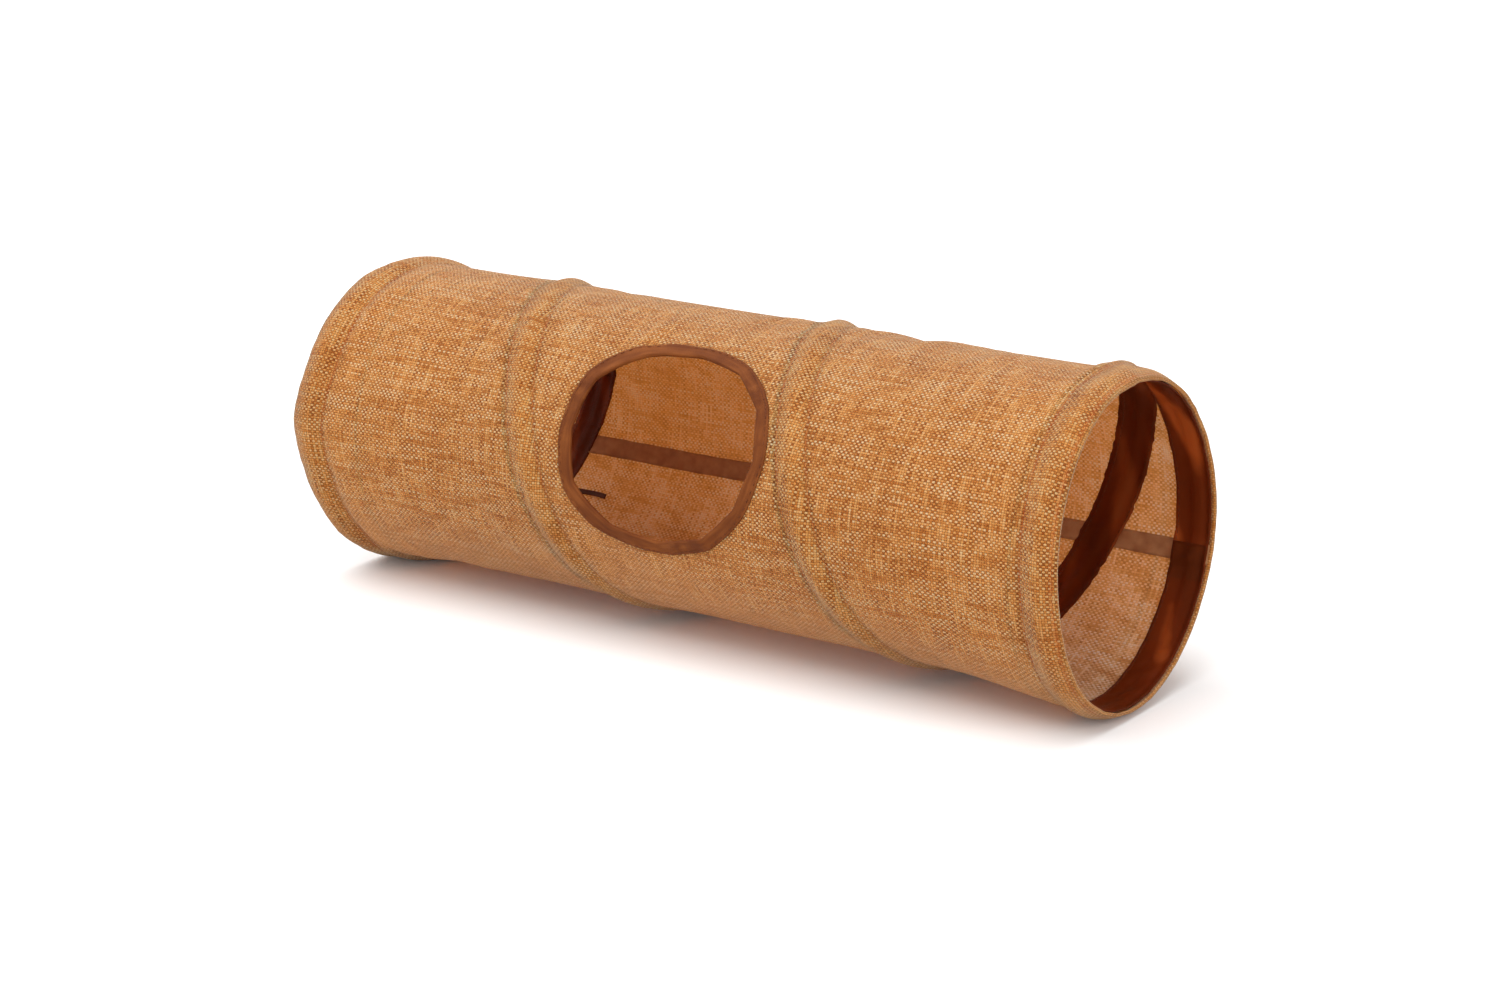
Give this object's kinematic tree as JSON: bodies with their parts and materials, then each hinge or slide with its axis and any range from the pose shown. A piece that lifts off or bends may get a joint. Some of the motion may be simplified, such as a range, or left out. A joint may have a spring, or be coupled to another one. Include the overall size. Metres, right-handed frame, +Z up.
{
  "type": "collapsible small animal play tunnel",
  "caption": "Collapsible play tunnel for small pets: a woven cloth sleeve held open by a sewn-in spring-steel coil, open at both ends, with a bound peephole in its side.",
  "frame": {"origin": "middle of the tunnel's length, on the floor under its axis", "axes": "+X along the tunnel towards the mouth that moves, +Z up, the peephole in the -Y side"},
  "size_m": [0.5, 0.18, 0.1788],
  "materials": {
    "woven_cloth": "coarse plain weave of slubby tan yarns, matte",
    "satin_tape": "dark brown satin-faced tape with a soft sheen",
    "binding_tape": "folded brown bias tape, fine weave",
    "twill_tape": "matte brown twill strip",
    "dark_ribbon": "narrow dark ribbon",
    "spring_steel": "drawn spring wire",
    "plated_crimp": "plated crimp"
  },
  "bodies": {
    "left_mouth": {"sleeve": "woven_cloth", "seam_tape": "twill_tape", "coil_wire": "spring_steel", "coil_casing": "satin_tape", "left_mouth_facing": "satin_tape", "left_ring_ferrule": "plated_crimp", "peephole_binding": "binding_tape", "ribbon_tail": "dark_ribbon"},
    "right_mouth": {"right_mouth_facing": "satin_tape", "right_ring_ferrule": "plated_crimp"}
  },
  "joints": [
    {"name": "collapse", "type": "slide", "parent": "left_mouth", "child": "right_mouth", "axis": [1, 0, 0], "range_m": [-0.43, 0], "stiffness_N_per_m": 12, "springref_m": 0.05, "deforming": ["sleeve", "seam_tape", "coil_wire", "coil_casing", "peephole_binding", "ribbon_tail"]}
  ]
}
